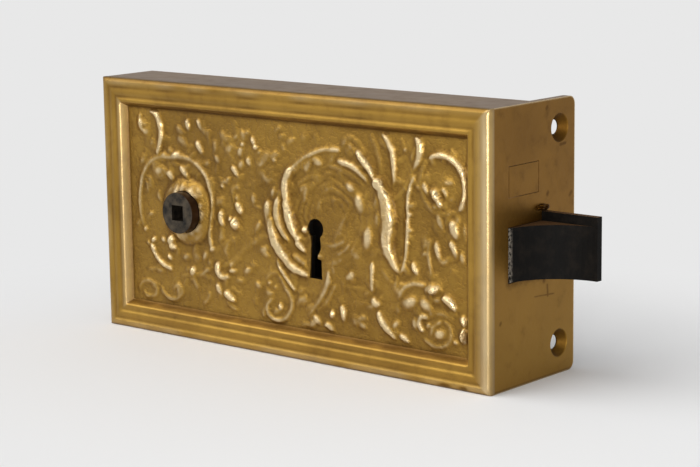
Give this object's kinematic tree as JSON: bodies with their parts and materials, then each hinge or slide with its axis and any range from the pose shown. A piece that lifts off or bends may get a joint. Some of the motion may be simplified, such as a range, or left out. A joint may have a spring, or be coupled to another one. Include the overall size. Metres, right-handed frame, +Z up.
{
  "type": "rim lock",
  "caption": "Ornate cast-brass rim lock with a framed relief front, square-holed hub, keyhole, sprung latch, dead bolt and a lipped forend.",
  "frame": {"origin": "middle of the whole lock's box, on the surface it stands on", "axes": "+X along the bolts' throw, out of the forend; +Y from the ornamental front towards the door; +Z up"},
  "size_m": [0.1706, 0.0434, 0.08],
  "materials": {
    "brass_casting": "cast, gilt lacquer worn on the high points",
    "brass_part": "filed brass",
    "forged_iron": "blackened forged iron",
    "hub_iron": "oiled dark steel",
    "cap_iron": "dark sheet iron with light rust",
    "screw_steel": "aged steel",
    "spring_steel": "blued spring steel"
  },
  "bodies": {
    "case": {"case": "brass_casting", "back_cap": "cap_iron", "cap_screws": "screw_steel", "latch_guide_studs": "screw_steel", "stud_washers": "brass_part", "latch_spring": "spring_steel", "latch_spring_post": "screw_steel", "dead_bolt_studs": "screw_steel", "detent_spring": "spring_steel", "detent_spring_screw": "screw_steel", "detent_spring_washer": "brass_part", "back_ward": "cap_iron", "ward_rivets": "screw_steel", "bridge_ward": "cap_iron", "bridge_pillars": "screw_steel"},
    "latch": {"latch_bolt": "forged_iron", "latch_peg": "screw_steel"},
    "hub": {"hub": "hub_iron"},
    "dead_bolt": {"dead_bolt": "brass_part"}
  },
  "joints": [
    {"name": "latch_slide", "type": "slide", "parent": "case", "child": "latch", "axis": [-1, 0, 0], "range_m": [0, 0.018], "stiffness_N_per_m": 250, "springref_m": -0.02, "deforming": ["latch_spring"]},
    {"name": "hub_turn", "type": "hinge", "parent": "case", "child": "hub", "pos_m": [-0.0508, -0.01925, 0.04], "axis": [0, 1, 0], "range_deg": [0, 50]},
    {"name": "dead_slide", "type": "slide", "parent": "case", "child": "dead_bolt", "axis": [1, 0, 0], "range_m": [0, 0.011], "deforming": ["detent_spring"]}
  ],
  "couplings": [
    {"joint": "hub_turn", "follows": "latch_slide", "rad_per_m": 48.4}
  ]
}
